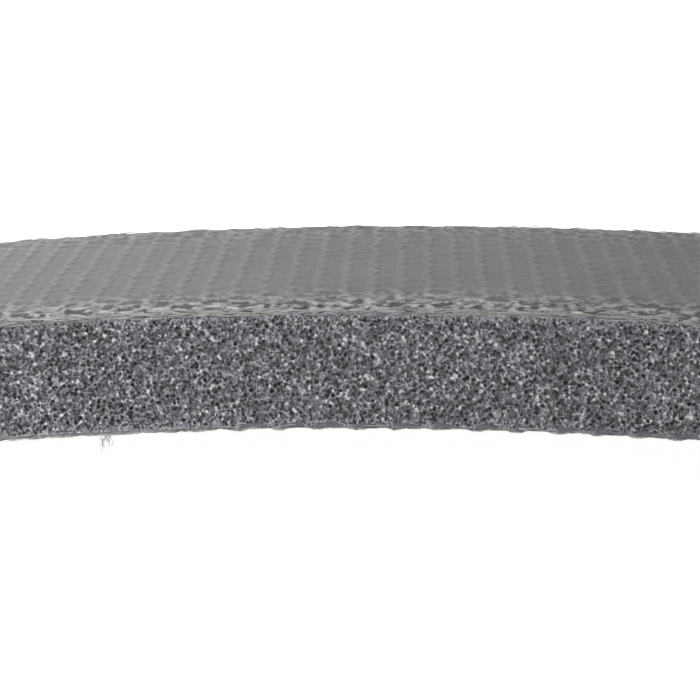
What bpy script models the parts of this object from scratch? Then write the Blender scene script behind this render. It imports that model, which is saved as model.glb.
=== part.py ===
"""Back protector insert for a motorcycle jacket: one soft foam slab, die-cut bare at its edge,
with a knitted mesh facing bonded to its outer side and another to its inner side.

The slab lies with its inner side down. X runs along the spine, with the tail at +X and the neck
at -X. Y runs across the back and Z points away from the back. The origin is at the middle of the
bottom of the bounding box. Metres throughout.

Each layer is cut flat from the same outline, then bent to one spine line of arcs: an arch over
the shoulder blades, a flat rest at the waist and a longer arch along the tail."""

import math

import bmesh
import bpy
from mathutils import Vector

COLLECTION = "back_protector"
MM = 0.001

# The stack, measured from the inner surface outwards.
TOTAL_THICKNESS = 15.0 * MM
FACING_THICKNESS = 0.8 * MM
FILM_THICKNESS = 0.2 * MM
LAYER_GAP = 0.3 * MM

# The spine line: radii of its arcs, the slope that joins them and the flat rest between.
SHOULDER_RADIUS = 540 * MM
WAIST_RADIUS = 200 * MM
WAIST_SLOPE = math.radians(9)
WAIST_FLAT = 46 * MM
HIP_RADIUS = 180 * MM
TAIL_RADIUS = 700 * MM
TAIL_ARC = 160 * MM
TAIL_CREST = 76 * MM  # from the tail's end to the top of its arch
BEND_STEP = 9 * MM  # the greatest length of slab between two bends

# The flat outline, as distances from the tail's end and from the centre line.
TAIL_HALF_WIDTH = 36 * MM  # at its narrowest, TAIL_NARROW from the tail's end
TAIL_NARROW = 83 * MM
TAIL_CORNER_RADIUS = 26 * MM
TAIL_CORNER_HALF_WIDTH = 37.3 * MM
TAIL_CORNER_SLOPE = 0.045
TAIL_FLARE = (150 * MM, 37.8 * MM)
TAIL_FLARE_SLOPE = 0.054
TAIL_HANDLE = 30 * MM  # how far the tail's side still leads the curve to the hip
HIP_POINT = (246 * MM, 84 * MM)
HIP_HANDLE = (34 * MM, 22 * MM)
SHOULDER_DISTANCE = 364 * MM
SHOULDER_HALF_WIDTH = 130 * MM
SHOULDER_HANDLES = (52 * MM, 38 * MM)
CORNER_POINT = (443 * MM, 109 * MM)
CORNER_HANDLE = (10 * MM, 12 * MM)
NECK_HALF_WIDTH = 74 * MM
NECK_HANDLES = (14 * MM, 24 * MM)
NECK_SCOOP = 9 * MM
SCOOP_HANDLE = 28 * MM
QUARTER_ARC = 0.5523  # handle length of a Bezier quarter circle, as a share of its radius
OUTLINE_RESOLUTION = 10
SAME_POINT = 0.001 * MM
NEARLY_FLAT = math.radians(0.5)
FACES_UP = 0.99  # least vertical share of the normal of a face of a flat cap


def spine_arcs():
    """(length, curvature) of each stretch from the tail's end to the neck. Positive curvature
    turns the slab downwards on the way to the neck, as an arch does."""
    hip_slope = (TAIL_ARC - TAIL_CREST) / TAIL_RADIUS
    waist_drop = 1 - math.cos(WAIST_SLOPE)
    neck_slope = math.acos(1 - (SHOULDER_RADIUS + WAIST_RADIUS) / SHOULDER_RADIUS * waist_drop)
    return [
        (TAIL_ARC, 1 / TAIL_RADIUS),
        ((WAIST_SLOPE - hip_slope) * HIP_RADIUS, 1 / HIP_RADIUS),
        (WAIST_SLOPE * WAIST_RADIUS, -1 / WAIST_RADIUS),
        (WAIST_FLAT, 0.0),
        (WAIST_SLOPE * WAIST_RADIUS, -1 / WAIST_RADIUS),
        ((WAIST_SLOPE + neck_slope) * SHOULDER_RADIUS, 1 / SHOULDER_RADIUS),
    ]


def spine_frame(distance):
    """(run, height, slope) of the inner surface at a distance from the tail's end, before the
    whole line is placed. Run is measured towards the neck."""
    run, height, slope = 0.0, 0.0, TAIL_CREST / TAIL_RADIUS
    for length, curvature in spine_arcs():
        step = min(distance, length)
        turned = slope - curvature * step
        if curvature:
            run += (math.sin(slope) - math.sin(turned)) / curvature
            height += (math.cos(turned) - math.cos(slope)) / curvature
        else:
            run += math.cos(slope) * step
            height += math.sin(slope) * step
        slope = turned
        distance -= step
        if distance <= 0:
            break
    return run, height, slope


PAD_LENGTH = sum(length for length, _ in spine_arcs())
WAIST_START = sum(length for length, _ in spine_arcs()[:3])


def place_on_spine(distance, across, outwards):
    """A point of the flat slab, bent onto the spine line, before it is centred."""
    run, height, slope = spine_frame(distance)
    return Vector(
        (
            -run + outwards * math.sin(slope),
            across,
            height + outwards * math.cos(slope),
        )
    )


def centring_offset():
    """Moves the slab so that the origin is at the middle of the bottom of its box."""
    ends = [
        place_on_spine(distance, 0.0, outwards).x
        for distance in (0.0, PAD_LENGTH)
        for outwards in (0.0, TOTAL_THICKNESS)
    ]
    waist = place_on_spine(WAIST_START, 0.0, 0.0)
    return Vector((-(min(ends) + max(ends)) / 2, 0.0, -waist.z))


def half_outline():
    """(point, handle before, handle after) of the edge from the tail's end to the neck scoop,
    as (distance from the tail's end, distance from the centre line)."""
    flat_end = TAIL_CORNER_HALF_WIDTH - TAIL_CORNER_RADIUS
    arc = TAIL_CORNER_RADIUS * QUARTER_ARC
    before = (TAIL_NARROW - TAIL_CORNER_RADIUS) / 3
    flare_x, flare_y = TAIL_FLARE
    after = (flare_x - TAIL_NARROW) / 3
    hip_x, hip_y = HIP_POINT
    corner_x, corner_y = CORNER_POINT
    return [
        ((0, flat_end), (0, flat_end / 3), (0, flat_end + arc)),
        (
            (TAIL_CORNER_RADIUS, TAIL_CORNER_HALF_WIDTH),
            (TAIL_CORNER_RADIUS - arc, TAIL_CORNER_HALF_WIDTH + TAIL_CORNER_SLOPE * arc),
            (TAIL_CORNER_RADIUS + before, TAIL_CORNER_HALF_WIDTH - TAIL_CORNER_SLOPE * before),
        ),
        (
            (TAIL_NARROW, TAIL_HALF_WIDTH),
            (TAIL_NARROW - before, TAIL_HALF_WIDTH),
            (TAIL_NARROW + after, TAIL_HALF_WIDTH),
        ),
        (
            TAIL_FLARE,
            (flare_x - after, flare_y - TAIL_FLARE_SLOPE * after),
            (flare_x + TAIL_HANDLE, flare_y + TAIL_FLARE_SLOPE * TAIL_HANDLE),
        ),
        (
            HIP_POINT,
            (hip_x - HIP_HANDLE[0], hip_y - HIP_HANDLE[1]),
            (hip_x + HIP_HANDLE[0], hip_y + HIP_HANDLE[1]),
        ),
        (
            (SHOULDER_DISTANCE, SHOULDER_HALF_WIDTH),
            (SHOULDER_DISTANCE - SHOULDER_HANDLES[0], SHOULDER_HALF_WIDTH),
            (SHOULDER_DISTANCE + SHOULDER_HANDLES[1], SHOULDER_HALF_WIDTH),
        ),
        (
            CORNER_POINT,
            (corner_x - CORNER_HANDLE[0], corner_y + CORNER_HANDLE[1]),
            (corner_x + CORNER_HANDLE[0], corner_y - CORNER_HANDLE[1]),
        ),
        (
            (PAD_LENGTH, NECK_HALF_WIDTH),
            (PAD_LENGTH, NECK_HALF_WIDTH + NECK_HANDLES[0]),
            (PAD_LENGTH, NECK_HALF_WIDTH - NECK_HANDLES[1]),
        ),
        (
            (PAD_LENGTH - NECK_SCOOP, 0),
            (PAD_LENGTH - NECK_SCOOP, SCOOP_HANDLE),
            (PAD_LENGTH - NECK_SCOOP, -SCOOP_HANDLE),
        ),
    ]


def full_outline():
    """The half outline, then its mirror image back down to the tail's end."""
    half = half_outline()
    mirrored = [
        tuple((along, -across) for along, across in (point, after, before))
        for point, before, after in reversed(half[:-1])
    ]
    return half + mirrored


def flat_layer(name, thickness):
    """The outline as a filled 2D curve of the layer's thickness, made a closed mesh."""
    curve = bpy.data.curves.new(name + "_outline", "CURVE")
    curve.dimensions = "2D"
    curve.fill_mode = "BOTH"
    curve.extrude = thickness / 2
    curve.resolution_u = OUTLINE_RESOLUTION
    points = full_outline()
    spline = curve.splines.new("BEZIER")
    spline.bezier_points.add(len(points) - 1)
    spline.use_cyclic_u = True
    for bezier, (point, before, after) in zip(spline.bezier_points, points):
        bezier.handle_left_type = bezier.handle_right_type = "FREE"
        bezier.co = (*point, 0)
        bezier.handle_left = (*before, 0)
        bezier.handle_right = (*after, 0)
    guide = bpy.data.objects.new(name + "_outline", curve)
    bpy.context.scene.collection.objects.link(guide)
    evaluated = guide.evaluated_get(bpy.context.evaluated_depsgraph_get())
    mesh = bpy.data.meshes.new_from_object(evaluated)
    bpy.data.objects.remove(guide)
    return mesh


def cut_across(shape):
    """Cuts the flat slab across at even steps, so that it can bend there."""
    steps = math.ceil(PAD_LENGTH / BEND_STEP)
    for i in range(1, steps):
        everything = shape.verts[:] + shape.edges[:] + shape.faces[:]
        bmesh.ops.bisect_plane(
            shape,
            geom=everything,
            dist=SAME_POINT,
            plane_co=(PAD_LENGTH * i / steps, 0, 0),
            plane_no=(1, 0, 0),
        )


def bent_layer(name, inner, outer, material, collection):
    """One layer of the stack, from its inner to its outer distance, bent to the spine line."""
    mesh = flat_layer(name, outer - inner)
    shape = bmesh.new()
    shape.from_mesh(mesh)
    bmesh.ops.remove_doubles(shape, verts=shape.verts, dist=SAME_POINT)
    bmesh.ops.dissolve_limit(shape, angle_limit=NEARLY_FLAT, verts=[], edges=flat_edges(shape))
    cut_across(shape)
    offset = centring_offset()
    middle = (inner + outer) / 2
    for vertex in shape.verts:
        along, across, height = vertex.co
        vertex.co = place_on_spine(along, across, middle + height) + offset
    bmesh.ops.recalc_face_normals(shape, faces=shape.faces)
    shape.to_mesh(mesh)
    shape.free()
    mesh.name = name
    mesh.materials.clear()
    mesh.materials.append(material)
    layer = bpy.data.objects.new(name, mesh)
    collection.objects.link(layer)
    return layer


def flat_edges(shape):
    """The edges inside the two flat caps, which only divide one plane."""
    return [
        edge
        for edge in shape.edges
        if len(edge.link_faces) == 2
        and all(abs(face.normal.z) > FACES_UP for face in edge.link_faces)
    ]


def plain_material(name, colour, roughness):
    material = bpy.data.materials.new(name)
    material.use_nodes = True
    shader = material.node_tree.nodes["Principled BSDF"]
    shader.inputs["Base Color"].default_value = (*colour, 1)
    shader.inputs["Roughness"].default_value = roughness
    shader.inputs["Metallic"].default_value = 0.0
    return material


def clear_scene():
    for thing in list(bpy.data.objects):
        bpy.data.objects.remove(thing, do_unlink=True)


def main():
    clear_scene()
    collection = bpy.data.collections.new(COLLECTION)
    bpy.context.scene.collection.children.link(collection)

    foam = plain_material("charcoal_foam", (0.145, 0.141, 0.150), 0.85)
    knit = plain_material("grey_knitted_mesh", (0.215, 0.212, 0.225), 0.75)
    film = plain_material("dark_bond_film", (0.055, 0.055, 0.062), 0.50)

    film_in = FACING_THICKNESS + LAYER_GAP
    foam_in = film_in + FILM_THICKNESS + LAYER_GAP
    foam_out = TOTAL_THICKNESS - foam_in
    film_out = TOTAL_THICKNESS - film_in
    facing_out = TOTAL_THICKNESS - FACING_THICKNESS

    bent_layer("lower_mesh_facing", 0.0, FACING_THICKNESS, knit, collection)
    bent_layer("lower_bond_film", film_in, film_in + FILM_THICKNESS, film, collection)
    bent_layer("foam_core", foam_in, foam_out, foam, collection)
    bent_layer("upper_bond_film", film_out - FILM_THICKNESS, film_out, film, collection)
    bent_layer("upper_mesh_facing", facing_out, TOTAL_THICKNESS, knit, collection)


main()
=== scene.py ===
"""The looks of a soft back protector insert: a charcoal foam slab with its cells cut open along
the bare edge, and a knitted hexagonal mesh pressed into the skin of both sides.

Flat measures are (distance from the tail's end, distance across, distance outwards from the inner
surface). bend() lays them on the same spine line of arcs as the CAD part. Metres throughout."""

import math

import bmesh
import bpy
import numpy as np
from mathutils import Matrix, Vector, kdtree


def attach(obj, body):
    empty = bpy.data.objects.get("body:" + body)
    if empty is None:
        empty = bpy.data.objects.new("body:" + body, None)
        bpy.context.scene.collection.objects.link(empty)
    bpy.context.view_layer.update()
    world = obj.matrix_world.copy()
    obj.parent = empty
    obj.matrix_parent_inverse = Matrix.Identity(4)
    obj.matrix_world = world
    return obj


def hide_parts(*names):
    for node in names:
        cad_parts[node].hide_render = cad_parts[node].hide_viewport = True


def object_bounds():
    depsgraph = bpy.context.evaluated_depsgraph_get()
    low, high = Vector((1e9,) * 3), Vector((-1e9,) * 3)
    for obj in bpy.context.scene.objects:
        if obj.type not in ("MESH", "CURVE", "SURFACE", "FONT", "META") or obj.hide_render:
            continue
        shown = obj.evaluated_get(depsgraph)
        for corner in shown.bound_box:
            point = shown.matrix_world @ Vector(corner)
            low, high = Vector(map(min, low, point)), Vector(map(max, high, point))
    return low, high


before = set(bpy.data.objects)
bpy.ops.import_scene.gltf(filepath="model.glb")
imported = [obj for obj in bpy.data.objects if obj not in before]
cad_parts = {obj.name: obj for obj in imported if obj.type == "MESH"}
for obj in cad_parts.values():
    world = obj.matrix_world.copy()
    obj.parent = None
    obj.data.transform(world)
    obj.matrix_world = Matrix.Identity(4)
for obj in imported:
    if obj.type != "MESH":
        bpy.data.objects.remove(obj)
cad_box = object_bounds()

MM = 0.001

# ---------------------------------------------------------------- the slab, as in the CAD part
TOTAL_THICKNESS = 15.0 * MM

# The spine line: radii of its arcs, the slope that joins them and the flat rest between.
SHOULDER_RADIUS = 540 * MM
WAIST_RADIUS = 200 * MM
WAIST_SLOPE = math.radians(9)
WAIST_FLAT = 46 * MM
HIP_RADIUS = 180 * MM
TAIL_RADIUS = 700 * MM
TAIL_ARC = 160 * MM
TAIL_CREST = 76 * MM  # from the tail's end to the top of its arch

# The flat outline, as distances from the tail's end and from the centre line.
TAIL_HALF_WIDTH = 36 * MM  # at its narrowest, TAIL_NARROW from the tail's end
TAIL_NARROW = 83 * MM
TAIL_CORNER_RADIUS = 26 * MM
TAIL_CORNER_HALF_WIDTH = 37.3 * MM
TAIL_CORNER_SLOPE = 0.045
TAIL_FLARE = (150 * MM, 37.8 * MM)
TAIL_FLARE_SLOPE = 0.054
TAIL_HANDLE = 30 * MM
HIP_POINT = (246 * MM, 84 * MM)
HIP_HANDLE = (34 * MM, 22 * MM)
SHOULDER_DISTANCE = 364 * MM
SHOULDER_HALF_WIDTH = 130 * MM
SHOULDER_HANDLES = (52 * MM, 38 * MM)
CORNER_POINT = (443 * MM, 109 * MM)
CORNER_HANDLE = (10 * MM, 12 * MM)
NECK_HALF_WIDTH = 74 * MM
NECK_HANDLES = (14 * MM, 24 * MM)
NECK_SCOOP = 9 * MM
SCOOP_HANDLE = 28 * MM
QUARTER_ARC = 0.5523

BEND_STEP = 9 * MM  # the greatest length of slab between two bends of a flat cap
SAME_POINT = 0.001 * MM
OUTLINE_SAMPLES = 400  # on each curve of the outline

# ---------------------------------------------------------------- the layers, as they show
RELIEF = 0.30 * MM  # how far the yarn stands above the skin in the mesh's holes
FILM_FROM = 0.37 * MM  # in from the facing's outside, as FOAM_FROM is
FILM_DEPTH = 0.06 * MM
FOAM_FROM = 0.45 * MM
FOAM_INSET = 0.05 * MM  # how far the foam stands back from the facings' turned-down edges
EDGE_ROLL = 0.30 * MM  # how far in from the cut edge a facing starts to turn down
EDGE_DROP = 0.14 * MM  # how far it has turned down at the edge

# The close-up stretch of the tail's side, where the surface is finest.
FINE_FROM = 30 * MM
FINE_TO = 149 * MM

# The mesh's repeat: the pitch along its bars and across them.
MESH_LONG = 6.93 * MM
MESH_SHORT = 4.86 * MM
BAR_HALF = 1.2 * MM
MESH_OVERHANG = 5 * MM  # hexagons whose middle is this far outside the edge are left out
UPPER_YARN_HALF = 0.95  # in millimetres, where the relief ends
LOWER_YARN_HALF = 1.5

# The mesh's wear at the cut edge.
FRAYED = 18 * MM  # how far in from the cut edge the yarns are loosened and pale, with painted shadow in the gaps between them
WEAR_FADE = 45 * MM  # how far beyond the close-up stretch the wear lessens
LEAST_WEAR = 0.35
EVEN_HEIGHT = 0.62  # the relief is pressed towards this height

# The mesh's hem, turned in over the foam at the cut edge: how far it reaches in at a yarn and at
# a hole, how far to one side of the hole that is, and how ragged it is.
UPPER_HEM = (0.34 * MM, 0.60 * MM, 0.0, 0.60 * MM)
LOWER_HEM = (0.42 * MM, 1.02 * MM, 1.1 * MM, 0.07 * MM)
HEM_LEAST = 0.10 * MM
HEM_ROWS = 5
HEM_BULGE = 0.05 * MM
HEM_TUCK = 0.16 * MM  # how far its last row goes in under the hem

# The foam's cells.
CELL_PITCH = 0.345 * MM
CELL_RADIUS = (0.42, 0.60, 0.95)  # least, usual and greatest, in cell pitches
DENSE_SKIN = 1.3 * MM  # how far in from the skin the cells are smaller
CELL_WALL = 0.07 * MM  # how thick the wall between two cells shows
CLOSED_EDGE = 0.25 * MM  # how far in from its two ends the cut face is closing up
COARSE_DEPTH = 0.6  # share of their depth that cells keep where the wall is coarse
WALL_STEP = 0.10 * MM
COARSE_STEP = 0.8 * MM
WALL_ROWS = 136
COARSE_SHARE = 8  # one coarse row takes this many fine ones

# The cut yarns.
CUT_YARN_LENGTH = (0.5, 1.3, 3.6)  # least, usual and greatest, in millimetres
CUT_YARN_RADIUS = (0.022, 0.035, 0.085)
TUFT_AT = 113.0 * MM  # from the tail's end
TUFT_ENDS = 9
LONGEST_END = (1.0 * MM, -0.1 * MM, -2.2 * MM)  # from the tuft's root

NOISE_WAVES = 7  # added up for one smooth random number
SEED = 7


# ---------------------------------------------------------------- spine line and outline
def spine_arcs():
    """(length, curvature) of each stretch from the tail's end to the neck."""
    hip_slope = (TAIL_ARC - TAIL_CREST) / TAIL_RADIUS
    waist_drop = 1 - math.cos(WAIST_SLOPE)
    neck_slope = math.acos(1 - (SHOULDER_RADIUS + WAIST_RADIUS) / SHOULDER_RADIUS * waist_drop)
    return [
        (TAIL_ARC, 1 / TAIL_RADIUS),
        ((WAIST_SLOPE - hip_slope) * HIP_RADIUS, 1 / HIP_RADIUS),
        (WAIST_SLOPE * WAIST_RADIUS, -1 / WAIST_RADIUS),
        (WAIST_FLAT, 0.0),
        (WAIST_SLOPE * WAIST_RADIUS, -1 / WAIST_RADIUS),
        ((WAIST_SLOPE + neck_slope) * SHOULDER_RADIUS, 1 / SHOULDER_RADIUS),
    ]


PAD_LENGTH = sum(length for length, _ in spine_arcs())


def spine_frame(distance):
    """(run, height, slope) of the inner surface at each distance from the tail's end. The first
    and the last arc go on past the slab's two ends."""
    left = np.asarray(distance, float)
    run = np.zeros_like(left)
    height = np.zeros_like(left)
    slope = np.full_like(left, TAIL_CREST / TAIL_RADIUS)
    arcs = spine_arcs()
    for i, (length, curvature) in enumerate(arcs):
        least = -np.inf if i == 0 else 0
        most = np.inf if i == len(arcs) - 1 else length
        step = np.clip(left, least, most)
        turned = slope - curvature * step
        if curvature:
            run += (np.sin(slope) - np.sin(turned)) / curvature
            height += (np.cos(turned) - np.cos(slope)) / curvature
        else:
            run += np.cos(slope) * step
            height += np.sin(slope) * step
        slope = turned
        left = left - step
    return run, height, slope


def unplaced(points):
    """Flat measures, laid on the spine line with the tail's end at the origin."""
    points = np.asarray(points, float).reshape(-1, 3)
    run, height, slope = spine_frame(points[:, 0])
    return np.stack(
        [
            -run + points[:, 2] * np.sin(slope),
            points[:, 1],
            height + points[:, 2] * np.cos(slope),
        ],
        axis=1,
    )


def placing():
    """Moves the slab so that it fills the CAD part's box."""
    ends = unplaced([(d, 0, n) for d in (0, PAD_LENGTH) for n in (0, TOTAL_THICKNESS)])[:, 0]
    waist = unplaced([(sum(length for length, _ in spine_arcs()[:3]), 0, 0)])[0, 2]
    low, high = cad_box
    return np.array([(low.x + high.x - ends.min() - ends.max()) / 2, 0.0, low.z - waist])


PLACE = placing()


def bend(points):
    """Flat measures, laid on the spine line in the part's own frame."""
    return unplaced(points) + PLACE


def half_outline():
    """(point, handle before, handle after) from the tail's end to the neck scoop."""
    flat_end = TAIL_CORNER_HALF_WIDTH - TAIL_CORNER_RADIUS
    arc = TAIL_CORNER_RADIUS * QUARTER_ARC
    before = (TAIL_NARROW - TAIL_CORNER_RADIUS) / 3
    flare_x, flare_y = TAIL_FLARE
    after = (flare_x - TAIL_NARROW) / 3
    hip_x, hip_y = HIP_POINT
    corner_x, corner_y = CORNER_POINT
    return [
        ((0, flat_end), (0, flat_end / 3), (0, flat_end + arc)),
        (
            (TAIL_CORNER_RADIUS, TAIL_CORNER_HALF_WIDTH),
            (TAIL_CORNER_RADIUS - arc, TAIL_CORNER_HALF_WIDTH + TAIL_CORNER_SLOPE * arc),
            (TAIL_CORNER_RADIUS + before, TAIL_CORNER_HALF_WIDTH - TAIL_CORNER_SLOPE * before),
        ),
        (
            (TAIL_NARROW, TAIL_HALF_WIDTH),
            (TAIL_NARROW - before, TAIL_HALF_WIDTH),
            (TAIL_NARROW + after, TAIL_HALF_WIDTH),
        ),
        (
            TAIL_FLARE,
            (flare_x - after, flare_y - TAIL_FLARE_SLOPE * after),
            (flare_x + TAIL_HANDLE, flare_y + TAIL_FLARE_SLOPE * TAIL_HANDLE),
        ),
        (
            HIP_POINT,
            (hip_x - HIP_HANDLE[0], hip_y - HIP_HANDLE[1]),
            (hip_x + HIP_HANDLE[0], hip_y + HIP_HANDLE[1]),
        ),
        (
            (SHOULDER_DISTANCE, SHOULDER_HALF_WIDTH),
            (SHOULDER_DISTANCE - SHOULDER_HANDLES[0], SHOULDER_HALF_WIDTH),
            (SHOULDER_DISTANCE + SHOULDER_HANDLES[1], SHOULDER_HALF_WIDTH),
        ),
        (
            CORNER_POINT,
            (corner_x - CORNER_HANDLE[0], corner_y + CORNER_HANDLE[1]),
            (corner_x + CORNER_HANDLE[0], corner_y - CORNER_HANDLE[1]),
        ),
        (
            (PAD_LENGTH, NECK_HALF_WIDTH),
            (PAD_LENGTH, NECK_HALF_WIDTH + NECK_HANDLES[0]),
            (PAD_LENGTH, NECK_HALF_WIDTH - NECK_HANDLES[1]),
        ),
        (
            (PAD_LENGTH - NECK_SCOOP, 0),
            (PAD_LENGTH - NECK_SCOOP, SCOOP_HANDLE),
            (PAD_LENGTH - NECK_SCOOP, -SCOOP_HANDLE),
        ),
    ]


class Outline:
    """The closed edge of the flat slab, sampled every tenth of a millimetre."""

    STEP = 0.1 * MM
    NEAR_TAIL = 6 * MM  # how far the tail's sides stray from TAIL_HALF_WIDTH

    def __init__(self):
        half = half_outline()
        mirrored = [
            tuple((along, -across) for along, across in (point, after, before))
            for point, before, after in reversed(half[:-1])
        ]
        knots = half + mirrored
        t = np.linspace(0, 1, OUTLINE_SAMPLES, endpoint=False)[:, None]
        curve = []
        for (a, _, b), (d, c, _) in zip(knots, knots[1:] + knots[:1]):
            a, b, c, d = (np.array(p, float) for p in (a, b, c, d))
            curve.append(
                a * (1 - t) ** 3 + 3 * b * t * (1 - t) ** 2 + 3 * c * t**2 * (1 - t) + d * t**3
            )
        curve = np.concatenate(curve + [curve[0][:1]])
        steps = np.linalg.norm(np.diff(curve, axis=0), axis=1)
        along = np.concatenate([[0], np.cumsum(steps)])
        self.length = along[-1]
        n = int(self.length / self.STEP)
        self.at = np.arange(n) * self.length / n
        self.points = np.stack([np.interp(self.at, along, curve[:, k]) for k in (0, 1)], axis=1)
        ahead = np.roll(self.points, -3, axis=0) - np.roll(self.points, 3, axis=0)
        ahead /= np.linalg.norm(ahead, axis=1)[:, None]
        self.outward = np.stack([-ahead[:, 1], ahead[:, 0]], axis=1)
        self.area = 0.5 * abs(
            np.sum(
                self.points[:, 0] * np.roll(self.points[:, 1], -1)
                - self.points[:, 1] * np.roll(self.points[:, 0], -1)
            )
        )
        self.tree = kdtree.KDTree(n)
        for i, (x, y) in enumerate(self.points):
            self.tree.insert((x, y, 0), i)
        self.tree.balance()

    def sample(self, at):
        """(points, outward directions) at distances along the edge."""
        at = np.asarray(at) % self.length
        wrap = np.concatenate([self.at, [self.length]])
        out = []
        for values in (self.points, self.outward):
            closed = np.concatenate([values, values[:1]])
            out.append(np.stack([np.interp(at, wrap, closed[:, k]) for k in (0, 1)], axis=1))
        return out

    def inside(self, points):
        """(how far each point is inside the edge, the nearest sample)."""
        nearest = np.array([self.tree.find((x, y, 0))[1] for x, y in points])
        away = self.points[nearest] - points
        return np.einsum("ij,ij->i", away, self.outward[nearest]), nearest

    def at_tail_side(self, distance, side):
        """The distance along the edge of a point on one of the tail's sides."""
        beside = np.abs(self.points[:, 1] - side * TAIL_HALF_WIDTH) < self.NEAR_TAIL
        gap = np.where(beside, np.abs(self.points[:, 0] - distance), PAD_LENGTH)
        return self.at[gap.argmin()]


EDGE = Outline()


def edge_wear():
    """How frayed the mesh is at each sample of the edge: most along the close-up stretch."""
    first, last = EDGE.at_tail_side(FINE_TO, -1), EDGE.at_tail_side(FINE_FROM, -1)
    outside = np.maximum(first - EDGE.at, EDGE.at - last)
    outside = np.minimum(outside, EDGE.length - np.abs(outside))
    return np.clip(1 - np.maximum(outside, 0) / WEAR_FADE, LEAST_WEAR, 1)


EDGE_WEAR = edge_wear()


# ---------------------------------------------------------------- meshes
def new_object(name, mesh, material):
    mesh.materials.append(material)
    made = bpy.data.objects.new(name, mesh)
    bpy.context.scene.collection.objects.link(made)
    return made


def add_flat_attribute(made, flat):
    """Keeps each vertex's flat place in millimetres, which the materials' patterns follow."""
    layer = made.data.attributes.new("flat", "FLOAT_VECTOR", "POINT")
    layer.data.foreach_set("vector", (np.asarray(flat, np.float32) / MM).ravel())


def bend_shape(shape):
    """Bends a flat bmesh onto the spine line and gives its vertices' flat places."""
    flat = np.array([v.co for v in shape.verts])
    for vertex, place in zip(shape.verts, bend(flat)):
        vertex.co = place
    return flat


def shape_object(name, shape, flat, material):
    mesh = bpy.data.meshes.new(name)
    shape.to_mesh(mesh)
    shape.free()
    made = new_object(name, mesh, material)
    add_flat_attribute(made, flat)
    return made


def close_caps(shape, loops):
    """Fills the two flat ends of a wall and cuts them across, so that they can bend."""
    caps = [shape.faces.new(loop) for loop in loops]
    bmesh.ops.recalc_face_normals(shape, faces=shape.faces)
    for at in BEND_STEP * np.arange(1, math.ceil(PAD_LENGTH / BEND_STEP)):
        edges = {e for f in caps for e in f.edges}
        verts = {v for f in caps for v in f.verts}
        cut = bmesh.ops.bisect_plane(
            shape,
            geom=list(verts) + list(edges) + caps,
            dist=SAME_POINT,
            plane_co=(at, 0, 0),
            plane_no=(1, 0, 0),
        )
        caps = [
            g
            for g in cut["geom"]
            if isinstance(g, bmesh.types.BMFace)
            and g.is_valid
            and max(v.co.x for v in g.verts) > at + 10 * SAME_POINT
        ]


# ---------------------------------------------------------------- foam
class Cells:
    """Round foam cells that the knife has cut open, on a wall measured along and up."""

    def __init__(self, seed):
        self.columns = int(EDGE.length / CELL_PITCH)
        self.rows = int(TOTAL_THICKNESS / CELL_PITCH) + 3
        self.pitch = EDGE.length / self.columns
        shape = (self.columns, self.rows)
        random = np.random.RandomState(seed)
        column = np.arange(self.columns)[:, None]
        row = np.arange(self.rows)[None, :] - 1
        self.across = (column + random.uniform(0.05, 0.95, shape)) * self.pitch
        self.up = (row + random.uniform(0.05, 0.95, shape)) * CELL_PITCH
        self.radius = CELL_PITCH * random.triangular(*CELL_RADIUS, shape)
        skin = np.minimum(self.up, TOTAL_THICKNESS - self.up) - FOAM_FROM
        self.radius *= 0.62 + 0.38 * np.clip(skin / DENSE_SKIN, 0, 1)
        self.centre = self.radius * random.uniform(-0.45, 0.55, shape)
        self.tone = random.uniform(0, 1, shape)

    def cut(self, along, up):
        """(depth of the open cell, its tone, how near a wall between cells) at places on the
        cut face. A cell's centre is a little inside the cut face or a little outside it."""
        depth = np.zeros_like(along)
        second = np.zeros_like(along)
        tone = np.full_like(along, 0.5)
        column = np.floor(along / self.pitch).astype(int)
        row = np.floor(up / CELL_PITCH).astype(int) + 1
        for i in (-1, 0, 1):
            for j in (-1, 0, 1):
                c = (column + i) % self.columns
                r = np.clip(row + j, 0, self.rows - 1)
                across = along - self.across[c, r]
                across -= np.round(across / EDGE.length) * EDGE.length
                away2 = across**2 + (up - self.up[c, r]) ** 2
                radius = self.radius[c, r]
                bowl = self.centre[c, r] + np.sqrt(np.maximum(radius**2 - away2, 0))
                bowl = np.where(away2 < radius**2, np.maximum(bowl, 0), 0)
                deeper = bowl > depth
                second = np.where(deeper, depth, np.maximum(second, bowl))
                tone = np.where(deeper, self.tone[c, r], tone)
                depth = np.maximum(depth, bowl)
        ridge = 1 - np.clip((depth - second) / CELL_WALL, 0, 1)
        return depth, tone, ridge


def wall_stations():
    """(distances along the edge, which of them are fine) round the slab."""
    first = EDGE.at_tail_side(FINE_TO, -1)
    last = EDGE.at_tail_side(FINE_FROM, -1)
    fine = np.linspace(first, last, int((last - first) / WALL_STEP) + 1)
    rest = EDGE.length - (last - first)
    coarse = last + np.linspace(0, rest, int(rest / COARSE_STEP) + 1)[1:-1]
    at = np.concatenate([fine, coarse])
    return at, np.arange(len(at)) < len(fine)


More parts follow.
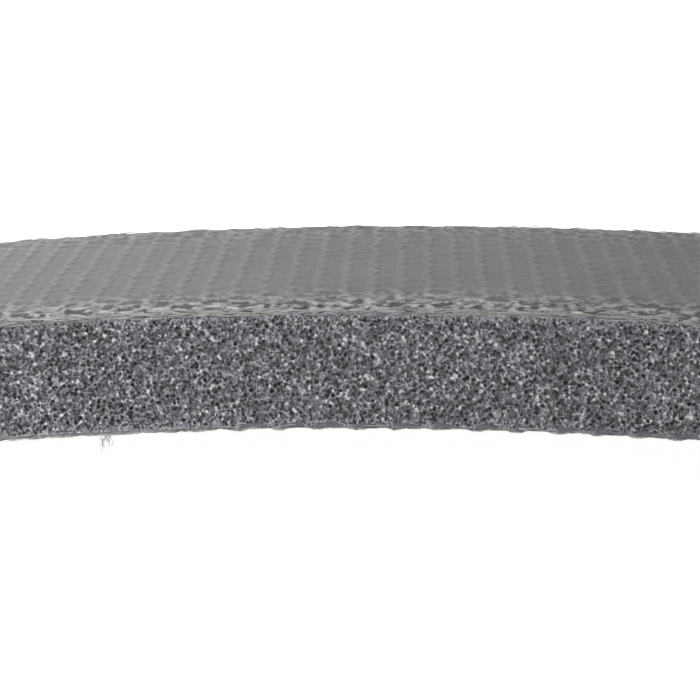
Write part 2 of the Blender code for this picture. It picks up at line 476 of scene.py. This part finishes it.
def slab(name, inner, outer, material, cells=None):
    """A layer of the slab with a wall of rows, and cut-open cells in it if there are any."""
    if cells is None:
        at = np.linspace(0, EDGE.length, int(EDGE.length / COARSE_STEP), endpoint=False)
        fine = np.zeros(len(at), bool)
        rows, share = 1, 1
    else:
        at, fine = wall_stations()
        rows, share = WALL_ROWS, COARSE_SHARE
    points, outward = EDGE.sample(at)
    up = np.linspace(inner, outer, rows + 1)
    index = np.full((len(at), rows + 1), -1)
    index[fine] = 0
    index[:, ::share] = 0
    used = index == 0
    index[used] = np.arange(used.sum())
    station, row = np.nonzero(used)
    across, height = at[station] % EDGE.length, up[row]
    depth = np.zeros(len(station))
    tone = np.full(len(station), 0.5)
    rim = np.ones(len(station))
    if cells is not None:
        depth, tone, rim = cells.cut(across, height)
        ends = np.minimum(height - inner, outer - height) / CLOSED_EDGE
        depth *= np.clip(ends, 0, 1) * np.where(fine[station], 1.0, COARSE_DEPTH)
    place = points[station] - outward[station] * (depth + FOAM_INSET)[:, None]
    flat = np.column_stack([place, height])
    faces = []
    n = len(at)
    for i in range(n):
        k = (i + 1) % n
        step = 1 if fine[i] and fine[k] else share
        for j in range(0, rows, step):
            left = [index[i, r] for r in range(j, j + step + 1) if index[i, r] >= 0]
            right = [index[k, r] for r in range(j, j + step + 1) if index[k, r] >= 0]
            faces.append(right + left[::-1])
    shape = bmesh.new()
    coarse = np.where(fine[station], 0.0, 1.0)
    values = {"tone": tone, "ridge": rim, "depth": depth / CELL_PITCH, "coarse": coarse}
    for key in values:
        shape.verts.layers.float.new(key)
    verts = [shape.verts.new(p) for p in flat]
    for face in faces:
        shape.faces.new([verts[v] for v in face])
    for key, numbers in values.items():
        layer = shape.verts.layers.float[key]
        for vertex, number in zip(verts, numbers):
            vertex[layer] = number
    shape.verts.ensure_lookup_table()
    close_caps(
        shape,
        [
            [verts[index[i, 0]] for i in range(n)],
            [verts[index[i, rows]] for i in reversed(range(n))],
        ],
    )
    flat = bend_shape(shape)
    bmesh.ops.recalc_face_normals(shape, faces=shape.faces)
    made = shape_object(name, shape, flat, material)
    if cells is None:
        made.data.shade_smooth()
        made.data.set_sharp_from_angle(angle=math.radians(60))
    return made


# ---------------------------------------------------------------- knitted mesh
def smooth_noise(points, scale, seed):
    """A smooth random number from -1 to 1 at each flat place."""
    random = np.random.RandomState(seed)
    total = np.zeros(len(points))
    for _ in range(NOISE_WAVES):
        angle, phase = random.uniform(0, 2 * math.pi, 2)
        wave = 2 * math.pi / (scale * random.uniform(0.7, 1.5))
        total += np.sin(points @ np.array([math.cos(angle), math.sin(angle)]) * wave + phase)
    return total / (NOISE_WAVES / 2)


def noise_pair(points, scale, seed):
    """Two such numbers at each place, as a small shift along and across."""
    return np.column_stack([smooth_noise(points, scale, seed + i) for i in (0, 1)])


class Net:
    """A flat hexagonal net over the slab: each hexagon is a set of rings from the middle of its
    yarns down to the skin in its hole."""

    # The parts of each side, and how far each ring is from the middle of the yarn, in millimetres.
    CLOSE_SIDES, CLOSE_RINGS = 6, (0.0, 0.22, 0.42, 0.58, 0.72, 0.86, 1.0, 1.4)
    FAR_SIDES, FAR_RINGS = 2, (0.0, 0.42, 0.70, 0.98)
    KEYS_PER_METRE = 1e7  # vertices whose places round to the same key are one
    SNAP = 0.04 * MM  # vertices this near to the slab's edge are put on it

    def __init__(self, angle, origin):
        self.angle, self.origin = angle, np.array(origin)
        self.places, self.away, self.known, self.faces = [], [], {}, []
        bar, point = BAR_HALF, MESH_LONG / 2 - BAR_HALF
        half = MESH_SHORT / 2
        self.corners = np.array(
            [(bar, half), (point, 0), (bar, -half), (-bar, -half), (-point, 0), (-bar, half)]
        )
        reach = 1.1 * math.hypot(PAD_LENGTH, 2 * SHOULDER_HALF_WIDTH)
        columns, rows = int(2 * reach / MESH_LONG) + 1, int(2 * reach / MESH_SHORT) + 1
        centres = np.array(
            [
                (i * MESH_LONG / 2, j * MESH_SHORT / 2)
                for i in range(-columns, columns + 1)
                for j in range(-rows, rows + 1)
                if (i + j) % 2 == 0
            ]
        )
        flat = self.to_slab(centres)
        margin = MESH_OVERHANG + 1 * MM
        box = (flat[:, 0] > -margin) & (flat[:, 0] < PAD_LENGTH + margin)
        box &= np.abs(flat[:, 1]) < SHOULDER_HALF_WIDTH + margin
        centres, flat = centres[box], flat[box]
        inside, _ = EDGE.inside(flat)
        for centre in centres[inside > -MESH_OVERHANG]:
            self.add_hexagon(centre)

    def is_close(self, centre):
        """Whether a hexagon lies in the close-up stretch, where its mesh is finer."""
        place = self.to_slab(centre[None])[0]
        beside = abs(place[1]) < TAIL_HALF_WIDTH + MESH_OVERHANG
        return FINE_FROM < place[0] < FINE_TO and beside

    def to_slab(self, points):
        """Places on the net, turned onto the slab."""
        c, s = math.cos(self.angle), math.sin(self.angle)
        return points @ np.array([[c, s], [-s, c]]) + self.origin

    def vertex(self, point, away):
        """The number of the vertex at a point of the net, which neighbours share."""
        key = tuple(round(part * self.KEYS_PER_METRE) for part in point)
        if key not in self.known:
            self.known[key] = len(self.places)
            self.places.append(point)
            self.away.append(away)
        return self.known[key]

    def side(self, centre, i, parts, away):
        """The vertices along one side of a ring, at a distance in from the middle of the yarn."""
        a, b = self.corners[i], self.corners[(i + 1) % 6]
        out = []
        for k in range(parts + 1):
            on_net = a + (b - a) * k / parts
            reach = np.linalg.norm(on_net)
            out.append(self.vertex(centre + on_net * (1 - away * MM / reach), away))
        return out

    def add_hexagon(self, centre):
        """Its rings and its hole. A side that it shares with a finer hexagon has an outer ring
        as fine as that one's."""
        close = self.is_close(centre)
        parts, rings = (
            (self.CLOSE_SIDES, self.CLOSE_RINGS) if close else (self.FAR_SIDES, self.FAR_RINGS)
        )
        middle = []
        for i in range(6):
            neighbour = centre + self.corners[i] + self.corners[(i + 1) % 6]
            finest = max(parts, self.CLOSE_SIDES if self.is_close(neighbour) else 0)
            share = finest // parts
            rows = [self.side(centre, i, finest, rings[0])]
            rows += [self.side(centre, i, parts, away) for away in rings[1:]]
            for k in range(parts):
                outer = rows[0][k * share : (k + 1) * share + 1]
                self.faces.append(outer + [rows[1][k + 1], rows[1][k]])
            for a, b in zip(rows[1:], rows[2:]):
                for k in range(parts):
                    self.faces.append([a[k], a[k + 1], b[k + 1], b[k]])
            middle += rows[-1][:-1]
        self.faces.append(middle)

    def clipped(self):
        """(flat places, distance from the yarn, faces), cut off at the slab's edge."""
        flat = self.to_slab(np.array(self.places))
        away = np.array(self.away)
        inside, nearest = EDGE.inside(flat)
        near_edge = np.abs(inside) < self.SNAP
        inside[near_edge] = 0.0
        flat[near_edge] = EDGE.points[nearest[near_edge]]
        places, distances = list(map(tuple, flat)), list(away)
        made, faces = {}, []
        for face in self.faces:
            signs = inside[face]
            if (signs >= 0).all():
                faces.append(face)
                continue
            if (signs <= 0).all():
                continue
            kept = []
            for a, b in zip(face, face[1:] + face[:1]):
                if inside[a] >= 0:
                    kept.append(a)
                if inside[a] * inside[b] < 0:
                    key = (min(a, b), max(a, b))
                    if key not in made:
                        low, high = key
                        t = inside[low] / (inside[low] - inside[high])
                        made[key] = len(places)
                        places.append(tuple(flat[low] + (flat[high] - flat[low]) * t))
                        distances.append(away[low] + (away[high] - away[low]) * t)
                    kept.append(made[key])
            if len(set(kept)) > 2:
                faces.append(kept)
        used = sorted({v for face in faces for v in face})
        renumber = {v: i for i, v in enumerate(used)}
        faces = [[renumber[v] for v in face] for face in faces]
        return np.array(places)[used], np.array(distances)[used], faces


def yarn_height(away, flat, seed, half_width):
    """How far the surface stands above the skin, from 0 to 1, by the distance from the yarn."""
    width = half_width * (1 + 0.16 * smooth_noise(flat, 2.6 * MM, seed))
    share = np.clip((away / width - 0.2) / 0.8, 0, 1)
    height = 0.5 * (1 + np.cos(math.pi * share))
    stitch = smooth_noise(flat, 0.8 * MM, seed + 1) + smooth_noise(flat, 1.3 * MM, seed + 3)
    patch = 1 + 0.12 * smooth_noise(flat, 6 * MM, seed + 2)
    return height * patch + 0.11 * stitch * (0.25 + height)


def worn_height(height, places, frayed, seed):
    """The same height once the knit is pressed flat, with the frayed yarns loosened."""
    height = EVEN_HEIGHT + (height - EVEN_HEIGHT) * (0.52 + 0.35 * frayed)
    return height + 0.30 * frayed * smooth_noise(places, 2.3 * MM, seed + 11)


def hem_shape(at, height, hem, seed):
    """(how much of a hole is there, how far the hem reaches in) along the cut edge."""
    at_yarn, at_hole, aside, raggedness = hem
    order = np.argsort(at)
    beside = np.interp(at + aside, at[order], height[order], period=EDGE.length)
    hole = np.clip((0.72 - beside) / 0.35, 0, 1)
    line = np.column_stack([at, np.zeros(len(at))])
    ragged = 0.6 * smooth_noise(line, 2.2 * MM, seed + 8)
    ragged += 0.5 * smooth_noise(line, 0.55 * MM, seed + 9)
    return hole, at_yarn + (at_hole - at_yarn) * hole + raggedness * ragged


def facing(name, material, net, outer, sign, half_width, hem, seed):
    """A knitted facing: relief on its outside, and its cut edge turned in over the foam's. outer
    is the level of its outside, and sign is 1 for the upper facing and -1 for the lower."""
    places, away, faces = net.clipped()
    depth_in, nearest = EDGE.inside(places)
    frayed = np.clip((FRAYED - depth_in) / (0.8 * FRAYED), 0, 1) * EDGE_WEAR[nearest]
    height = worn_height(yarn_height(away, places, seed, half_width), places, frayed, seed)
    if sign > 0:
        height += (0.75 - height) * 0.6 * np.clip(1 - depth_in / (1.0 * MM), 0, 1)
    roll = np.clip(1 - depth_in / EDGE_ROLL, 0, 1)
    top = RELIEF * (1 - np.clip(height, -0.1, 1.2)) + EDGE_DROP * (1 - np.sqrt(1 - roll**2))
    shift = noise_pair(places, 13 * MM, seed + 5) * 0.22
    shift += noise_pair(places, 5 * MM, seed + 12) * 0.45 * frayed[:, None]
    free = np.clip(depth_in / (2 * MM), 0, 1)[:, None]
    flat = np.column_stack([places + shift * MM * free, outer - sign * top])
    if sign > 0:
        faces = [face[::-1] for face in faces]
    shape = bmesh.new()
    keys = ("yarn", "rim", "frayed")
    for key in keys:
        shape.verts.layers.float.new(key)
    yarn, rim, wear_and_highlight_breakup = (shape.verts.layers.float[key] for key in keys)
    verts = [shape.verts.new(p) for p in flat]
    for vertex, number, wear in zip(verts, height, frayed):
        vertex[yarn] = number
        vertex[wear_and_highlight_breakup] = wear
    for face in faces:
        shape.faces.new([verts[v] for v in face])
    shape.verts.index_update()
    border = [e for e in shape.edges if e.is_boundary]
    loop = sorted({v.index for e in border for v in e.verts})
    at, outward = EDGE.at[nearest[loop]], EDGE.outward[nearest[loop]]
    hole, reach = hem_shape(at, height[loop], hem, seed)
    reach = np.maximum(reach, top[loop] + HEM_LEAST)
    below = {vertex: k for k, vertex in enumerate(loop)}
    previous = [verts[i] for i in loop]
    for row in range(1, HEM_ROWS + 1):
        share = row / HEM_ROWS
        proud = HEM_BULGE * math.sin(math.pi * share) - (HEM_TUCK if row == HEM_ROWS else 0)
        fresh = []
        for k, i in enumerate(loop):
            n = outer - sign * (top[i] + (reach[k] - top[i]) * share)
            x, y = places[i] + outward[k] * proud
            vertex = shape.verts.new((x, y, n))
            vertex[yarn] = 1 - hole[k]
            vertex[wear_and_highlight_breakup] = frayed[i]
            vertex[rim] = 1.0
            fresh.append(vertex)
        for edge in border:
            a, b = (below[vertex.index] for vertex in edge.verts)
            shape.faces.new([previous[a], previous[b], fresh[b], fresh[a]])
        previous = fresh
    bmesh.ops.recalc_face_normals(shape, faces=shape.faces)
    made = shape_object(name, shape, bend_shape(shape), material)
    made.data.shade_smooth()
    return made


# ---------------------------------------------------------------- cut ends of yarn
def tubes(name, paths, radii, material):
    """Thin yarns along flat paths, each closed at its two ends. Each has a tone of its own."""
    sides = 5
    vertices, faces, tones = [], [], []
    for number, (path, radius) in enumerate(zip(paths, radii)):
        path = bend(path)
        ahead = np.gradient(path, axis=0)
        ahead /= np.linalg.norm(ahead, axis=1)[:, None]
        side = np.cross(ahead, (0.21, 0.35, 0.91))  # a direction that no yarn takes
        side /= np.linalg.norm(side, axis=1)[:, None]
        other = np.cross(side, ahead)
        first = len(vertices)
        for i, place in enumerate(path):
            thin = radius * (0.55 if i in (0, len(path) - 1) else 1.0)
            for angle in np.arange(sides) * 2 * math.pi / sides:
                away = math.cos(angle) * side[i] + math.sin(angle) * other[i]
                vertices.append(place + thin * away)
        for i in range(len(path) - 1):
            for k in range(sides):
                a, b = first + i * sides + k, first + i * sides + (k + 1) % sides
                faces.append([a, b, b + sides, a + sides])
        faces.append([first + k for k in reversed(range(sides))])
        faces.append([first + (len(path) - 1) * sides + k for k in range(sides)])
        tones += [number * 0.618 % 1] * (len(path) * sides)
    mesh = bpy.data.meshes.new(name)
    mesh.from_pydata([tuple(v) for v in vertices], [], faces)
    mesh.update()
    mesh.shade_smooth()
    made = new_object(name, mesh, material)
    layer = mesh.attributes.new("tone", "FLOAT", "POINT")
    layer.data.foreach_set("value", np.asarray(tones, np.float32))
    add_flat_attribute(made, vertices)
    return made


def edge_yarns(name, material, outer, sign, hem, on_face, close_up, elsewhere, seed):
    """Cut yarns lying along the slab's edge, as far in as hem. on_face is the share of them that
    lie back on the facing instead. close_up and elsewhere are how many there are to a metre."""
    random = np.random.RandomState(seed)
    first, last = EDGE.at_tail_side(FINE_TO, -1), EDGE.at_tail_side(FINE_FROM, -1)
    rest_end = first + EDGE.length
    least_rise = (0.03 if sign > 0 else 0.3) * MM
    starts = np.concatenate(
        [
            random.uniform(first, last, int((last - first) * close_up)),
            random.uniform(last, rest_end, int((rest_end - last) * elsewhere)),
        ]
    )
    paths, radii = [], []
    for start in starts:
        length = random.triangular(*CUT_YARN_LENGTH) * MM
        steps = np.linspace(0, 1, 7)
        points, outward = EDGE.sample(start + steps * length)
        phase, turn = random.uniform(0, 6.3, 2)
        sway = 0.07 * np.sin(steps * 3.4 + phase) + random.uniform(-0.15, 0.15) * steps
        if random.uniform() < on_face:
            proud = -(random.uniform(0.05, 1.0) ** 2 * 2.2 + sway) * MM
            rise = (-0.02 + 0.09 * np.sin(steps * 2.8 + turn) ** 2) * MM
        else:
            proud = (0.04 + 0.07 * np.sin(steps * 2.8 + turn)) * MM
            rise = np.maximum(random.uniform(0.02, 1.0) * hem + sway * MM, least_rise)
        place = points + outward * proud[:, None]
        paths.append(np.column_stack([place, outer - sign * rise]))
        radii.append(random.triangular(*CUT_YARN_RADIUS) * MM)
    return tubes(name, paths, radii, material)


def loose_tuft(material):
    """A few tangled ends that hang from the lower mesh under the tail's side."""
    random = np.random.RandomState(SEED + 40)
    paths, radii = [], []
    root = np.array([TUFT_AT, -TAIL_HALF_WIDTH + 0.1 * MM, 0.25 * MM])
    for i in range(TUFT_ENDS):
        steps = np.linspace(0, 1, 12)[:, None]
        start = root + np.array([random.uniform(-0.7, 0.6), random.uniform(-0.1, 0.3), 0]) * MM
        end = root + np.array([random.uniform(-0.3, 0.7), random.uniform(-0.3, 0.3), 0]) * MM
        end[2] = -random.uniform(0.7, 1.5) * MM
        if i == 0:
            end = root + np.array(LONGEST_END)
        wave = np.sin(steps * random.uniform(3, 9) + random.uniform(0, 6, 3))
        curl = (wave - wave[:1]) * np.array([0.22, 0.15, 0.15]) * MM * np.minimum(steps * 3, 1)
        paths.append(start + (end - start) * steps + curl)
        radii.append(random.uniform(0.025, 0.045) * MM)
    return tubes("loose_yarn_tuft", paths, radii, material)


# ---------------------------------------------------------------- materials
class Nodes:
    """A material's node tree, built by short calls. Patterns that follow the attribute flat have
    their scales in repeats to a millimetre."""

    def __init__(self, name, roughness, **sockets):
        self.material = bpy.data.materials.new(name)
        self.material.use_nodes = True
        self.tree = self.material.node_tree
        self.shader = self.tree.nodes["Principled BSDF"]
        self.shader.inputs["Roughness"].default_value = roughness
        for socket, value in sockets.items():
            self.shader.inputs[socket.replace("_", " ")].default_value = value

    def node(self, kind, inputs=(), **settings):
        made = self.tree.nodes.new("ShaderNode" + kind)
        for key, value in settings.items():
            setattr(made, key, value)
        for key, value in dict(inputs).items():
            if isinstance(value, bpy.types.NodeSocket):
                self.tree.links.new(value, made.inputs[key])
            else:
                made.inputs[key].default_value = value
        return made

    def attribute(self, name, output="Fac"):
        return self.node("Attribute", attribute_name=name).outputs[output]

    def math(self, operation, a, b=0.0, c=0.0):
        return self.node("Math", {0: a, 1: b, 2: c}, operation=operation).outputs[0]

    def product(self, first, *others):
        for other in others:
            first = self.math("MULTIPLY", first, other)
        return first

    def remap(self, value, low, high, to_low=0.0, to_high=1.0):
        """The value's place between low and high, as a place between to_low and to_high."""
        ends = {"From Min": low, "From Max": high, "To Min": to_low, "To Max": to_high}
        return self.node("MapRange", {"Value": value, **ends}).outputs["Result"]

    def noise(self, vector, scale, detail=2.0, rough=0.5):
        inputs = {"Vector": vector, "Scale": scale, "Detail": detail, "Roughness": rough}
        return self.node("TexNoise", inputs).outputs["Fac"]

    def stretched(self, vector, along, across, outwards=1.0):
        """The vector scaled, so that a pattern on it is finer where the scale is greater."""
        inputs = {"Vector": vector, "Scale": (along, across, outwards)}
        return self.node("Mapping", inputs).outputs["Vector"]

    def mix(self, share, a, b):
        """From colour a to colour b."""
        made = self.node("Mix", data_type="RGBA")
        for key, value in (("Factor", share), ("A", a), ("B", b)):
            socket = [s for s in made.inputs if s.name == key and s.enabled][0]
            if isinstance(value, bpy.types.NodeSocket):
                self.tree.links.new(value, socket)
            else:
                socket.default_value = value if isinstance(value, float) else (*value, 1)
        return [s for s in made.outputs if s.enabled][0]

    def blend(self, share, a, b):
        """From number a to number b."""
        return self.math("MULTIPLY_ADD", share, self.math("SUBTRACT", b, a), a)

    def scaled(self, colour, by):
        made = self.node("VectorMath", {0: colour, "Scale": by}, operation="SCALE")
        return made.outputs[0]

    def link(self, value, socket):
        self.tree.links.new(value, self.shader.inputs[socket])

    def bump(self, height, distance, strength):
        made = self.node("Bump", {"Height": height, "Distance": distance, "Strength": strength})
        self.link(made.outputs["Normal"], "Normal")


FOAM_WALL = (0.122, 0.117, 0.129)
# painted highlight on the rims between cells, where their walls catch the light
FOAM_RIM_HIGHLIGHT = (0.340, 0.330, 0.350)
# painted glint of the bright windows that close a few cells
FOAM_WINDOW_GLINT = (0.72, 0.72, 0.73)
PITS_PER_MM = 4.6
COARSE_SHADE = 0.58  # stands for the shade inside cells too small for the coarse wall


def foam_material():
    """Each cell has a tone, with painted shade darkening it towards its bottom and a painted
    highlight on its pale rim. A few cells are closed by bright windows that carry a painted glint.
    The coarse wall has its cells only here."""
    n = Nodes("charcoal_foam", 0.62)
    flat = n.attribute("flat", "Vector")
    tone, ridge, depth = n.attribute("tone"), n.attribute("ridge"), n.attribute("depth")
    coarse = n.attribute("coarse")
    cell = n.node("TexVoronoi", {"Vector": flat, "Scale": MM / CELL_PITCH})
    from_middle = cell.outputs["Distance"]
    cell_tone = n.node("SeparateColor", {"Color": cell.outputs["Color"]}).outputs["Red"]
    tone = n.blend(coarse, tone, cell_tone)
    # Where the wall is too coarse for cells, painted shade towards each pattern cell's middle and
    # a painted highlight towards its edge stand in for the cells' shading
    ridge = n.blend(coarse, ridge, n.remap(from_middle, 0.50, 0.80, 0.0, 0.8))
    depth = n.blend(coarse, depth, n.remap(from_middle, 0.0, 0.5, 1.0, 0.1))
    grain = n.noise(flat, 7.5, 3.0, 0.7)
    pits = n.node("TexVoronoi", {"Vector": flat, "Scale": PITS_PER_MM}).outputs["Distance"]
    patch = n.noise(flat, 0.25, 2.0)
    shade = n.product(
        n.remap(tone, 0.0, 1.0, 0.36, 1.68),
        # painted shade, darker towards each cell's bottom
        n.remap(depth, 0.0, 1.1, 1.36, 0.28),
        n.remap(grain, 0.3, 0.7, 0.34, 1.66),
        # painted shade in the fine pits
        n.remap(pits, 0.10, 0.60, 0.45, 1.50),
        n.remap(coarse, 0.0, 1.0, 1.0, COARSE_SHADE),
        n.remap(patch, 0.3, 0.7, 0.92, 1.08),
    )
    # breaks up the painted highlight on the rims and the painted glints in patches
    wear_and_highlight_breakup = n.remap(grain, 0.35, 0.6, 0.5, 1.0)
    # painted highlight on the cells' rims
    rim = n.product(n.remap(ridge, 0.4, 0.9, 0.0, 0.90), wear_and_highlight_breakup)
    colour = n.mix(rim, n.scaled(FOAM_WALL, shade), FOAM_RIM_HIGHLIGHT)
    # painted glint: a few cells closed by bright windows, pale and glossier
    window_glint = n.product(n.remap(tone, 0.84, 0.95), n.remap(ridge, 0.9, 0.2), wear_and_highlight_breakup)
    n.link(n.mix(window_glint, colour, FOAM_WINDOW_GLINT), "Base Color")
    n.link(n.remap(window_glint, 0.0, 1.0, 0.60, 0.35), "Roughness")
    n.bump(grain, 0.16 * MM, 0.8)
    return n.material


def knit_material():
    """Calm away from the cut edge, frayed towards it into pale strands with painted shadow in the
    dark gaps between them, and streaked along the hem."""
    n = Nodes("grey_knitted_mesh", 0.75, Sheen_Weight=0.12)
    flat = n.attribute("flat", "Vector")
    yarn, rim, frayed = n.attribute("yarn"), n.attribute("rim"), n.attribute("frayed")
    fibre = n.noise(n.stretched(flat, 0.28, 1.0), 7.0, 3.0, 0.65)
    stitch = n.noise(flat, 1.6, 2.0)
    patch = n.noise(flat, 0.10, 2.0)
    shade = n.product(
        n.remap(fibre, 0.3, 0.7, 0.82, 1.18),
        n.remap(stitch, 0.3, 0.7, 0.88, 1.12),
        n.remap(patch, 0.3, 0.7, 0.94, 1.06),
    )
    calm = n.mix(n.remap(yarn, 0.1, 0.75), (0.128, 0.123, 0.128), (0.156, 0.149, 0.153))
    tangle = n.noise(n.stretched(flat, 0.75, 0.47), 1.0, 2.5, 0.62)
    strand = n.math("ADD", yarn, n.remap(tangle, 0.34, 0.66, -1.1, 1.1))
    # pale loosened strands, with painted shadow in the gaps between them, darker than the foam
    # there
    torn_strands_and_gap_shadow = n.mix(n.remap(strand, -0.1, 1.45), (0.016, 0.015, 0.018), (0.430, 0.416, 0.416))
    hem = n.mix(n.remap(yarn, 0.25, 0.85), (0.098, 0.098, 0.110), (0.205, 0.203, 0.208))
    streak = n.noise(n.stretched(flat, 0.45, 0.45, 3.2), 1.0, 3.0, 0.6)
    streak = n.remap(streak, 0.3, 0.7, -1.0, 1.0)
    uneven = n.remap(yarn, 0.2, 0.9, 0.12, 0.45)
    hem = n.scaled(hem, n.math("MULTIPLY_ADD", streak, uneven, 1.0))
    n.link(n.scaled(n.mix(rim, n.mix(frayed, calm, torn_strands_and_gap_shadow), hem), shade), "Base Color")
    n.bump(fibre, 0.12 * MM, 0.7)
    return n.material


def yarn_material(name, dark, light):
    """Yarns between two colours, each by its own tone."""
    n = Nodes(name, 0.6, Sheen_Weight=0.2)
    flat = n.attribute("flat", "Vector")
    fibre = n.noise(flat, 6.0, 2.0)
    base = n.mix(n.attribute("tone"), dark, light)
    n.link(n.scaled(base, n.remap(fibre, 0.3, 0.7, 0.8, 1.2)), "Base Color")
    n.bump(fibre, 0.02 * MM, 0.6)
    return n.material


def film_material():
    n = Nodes("dark_bond_film", 0.45)
    flat = n.attribute("flat", "Vector")
    grain = n.noise(flat, 2.0, 2.0)
    base = n.mix(grain, (0.045, 0.045, 0.052), (0.07, 0.07, 0.078))
    n.link(base, "Base Color")
    n.bump(grain, 0.05 * MM, 0.5)
    return n.material


# ---------------------------------------------------------------- the piece list
def declare(piece, material_slot, *nodes):
    """Hangs a piece on the root body and hides the CAD nodes that it stands for. Its material_slot
    is not used.
    """
    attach(piece, "root")
    if nodes:
        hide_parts(*nodes)


core = slab("foam_core_cut", FOAM_FROM, TOTAL_THICKNESS - FOAM_FROM, foam_material(), Cells(SEED))
declare(core, "foam", "foam_core")

knit = knit_material()
ends = yarn_material("cut_yarn_ends", (0.20, 0.20, 0.205), (0.42, 0.42, 0.425))
tuft_yarn = yarn_material("loose_yarn", (0.16, 0.17, 0.19), (0.30, 0.32, 0.36))

upper = facing(
    "upper_mesh",
    knit,
    Net(math.radians(-3.5), (PAD_LENGTH / 2, 0.0)),
    outer=TOTAL_THICKNESS,
    sign=1,
    half_width=UPPER_YARN_HALF,
    hem=UPPER_HEM,
    seed=SEED + 10,
)
upper_ends = edge_yarns(
    "upper_cut_yarns",
    ends,
    outer=TOTAL_THICKNESS,
    sign=1,
    hem=0.55 * MM,
    on_face=0.45,
    close_up=6000,
    elsewhere=600,
    seed=SEED + 30,
)
lower = facing(
    "lower_mesh",
    knit,
    Net(math.radians(91.5), (60 * MM, -TAIL_HALF_WIDTH)),
    outer=0.0,
    sign=-1,
    half_width=LOWER_YARN_HALF,
    hem=LOWER_HEM,
    seed=SEED + 20,
)
lower_ends = edge_yarns(
    "lower_cut_yarns",
    ends,
    outer=0.0,
    sign=-1,
    hem=0.80 * MM,
    on_face=0.0,
    close_up=500,
    elsewhere=200,
    seed=SEED + 31,
)
tuft = loose_tuft(tuft_yarn)
declare(upper, "knitted_mesh", "upper_mesh_facing")
declare(lower, "knitted_mesh", "lower_mesh_facing")
for piece in (upper_ends, lower_ends, tuft):
    declare(piece, "knitted_mesh")

film = film_material()
for side, inner in (("lower", FILM_FROM), ("upper", TOTAL_THICKNESS - FILM_FROM - FILM_DEPTH)):
    piece = slab(side + "_film", inner, inner + FILM_DEPTH, film)
    declare(piece, "bond_film", side + "_bond_film")


# ---------------------------------------------------------------- camera, floor and light
VIEW_DISTANCE = 359.5 * MM
VIEW_PITCH = math.radians(10.66)
VIEW_YAW = math.radians(4.95)
VIEW_ROLL = math.radians(-0.39)
VIEW_FROM_CREST = 6.8 * MM  # how far towards the neck the view is centred
VIEW_HEIGHT = 10.01 * MM  # above the inner surface
LENS, SENSOR = 151.7, 36  # in millimetres, as Blender takes them
CLIP_START = 10 * MM

FLOOR_HALF = 12.0
FLOOR_GAP = 0.2 * MM  # the floor lies this far below the pad, so that the two don't touch
FLOOR_GLOW = 0.89
SKY_GLOW = 0.22


def aimed_camera():
    data = bpy.data.cameras.new("camera")
    data.lens = LENS
    data.sensor_width = SENSOR
    data.clip_start = CLIP_START
    made = bpy.data.objects.new("camera", data)
    bpy.context.scene.collection.objects.link(made)
    crest = bend([(TAIL_CREST, 0, 0)])[0]
    target = Vector((crest[0] - VIEW_FROM_CREST, -TAIL_HALF_WIDTH, crest[2] + VIEW_HEIGHT))
    ahead = Vector(
        (
            -math.sin(VIEW_YAW) * math.cos(VIEW_PITCH),
            math.cos(VIEW_YAW) * math.cos(VIEW_PITCH),
            -math.sin(VIEW_PITCH),
        )
    )
    made.location = target - ahead * VIEW_DISTANCE
    turn = ahead.to_track_quat("-Z", "Y").to_matrix() @ Matrix.Rotation(VIEW_ROLL, 3, "Z")
    made.rotation_euler = turn.to_euler()
    bpy.context.scene.camera = made


def softbox(name, power, spread, size, place, target):
    """A square light. Its power is in watts, its spread in degrees and the rest in metres."""
    data = bpy.data.lights.new(name, "AREA")
    data.energy = power
    data.spread = math.radians(spread)
    data.size = size
    made = bpy.data.objects.new(name, data)
    made.location = place
    made.rotation_euler = (Vector(target) - Vector(place)).to_track_quat("-Z", "Y").to_euler()
    made.visible_camera = False
    bpy.context.scene.collection.objects.link(made)


def floor():
    mesh = bpy.data.meshes.new("floor")
    shape = bmesh.new()
    bmesh.ops.create_grid(shape, x_segments=2, y_segments=2, size=FLOOR_HALF)
    shape.to_mesh(mesh)
    shape.free()
    glow = {"Emission_Color": (1, 1, 1, 1), "Emission_Strength": FLOOR_GLOW}
    pale = Nodes("pale_floor", 0.9, Base_Color=(0.55, 0.55, 0.56, 1), **glow)
    made = new_object("floor", mesh, pale.material)
    made.location.z = cad_box[0].z - FLOOR_GAP


aimed_camera()
floor()
softbox("key_softbox", 0.96, 22, 0.25, (-0.9, -0.7, 1.1), (-0.08, 0, 0))
softbox("back_softbox", 0.30, 26, 0.25, (-0.7, 0.6, 1.1), (0.02, 0, 0))
softbox("top_softbox", 1.0, 180, 1.2, (0, 0.3, 1.5), (0, 0, 0))

world = bpy.data.worlds.new("studio")
world.use_nodes = True
sky = world.node_tree.nodes["Background"]
sky.inputs["Color"].default_value = (1, 1, 1, 1)
sky.inputs["Strength"].default_value = SKY_GLOW
bpy.context.scene.world = world
bpy.context.scene.view_settings.view_transform = "Standard"
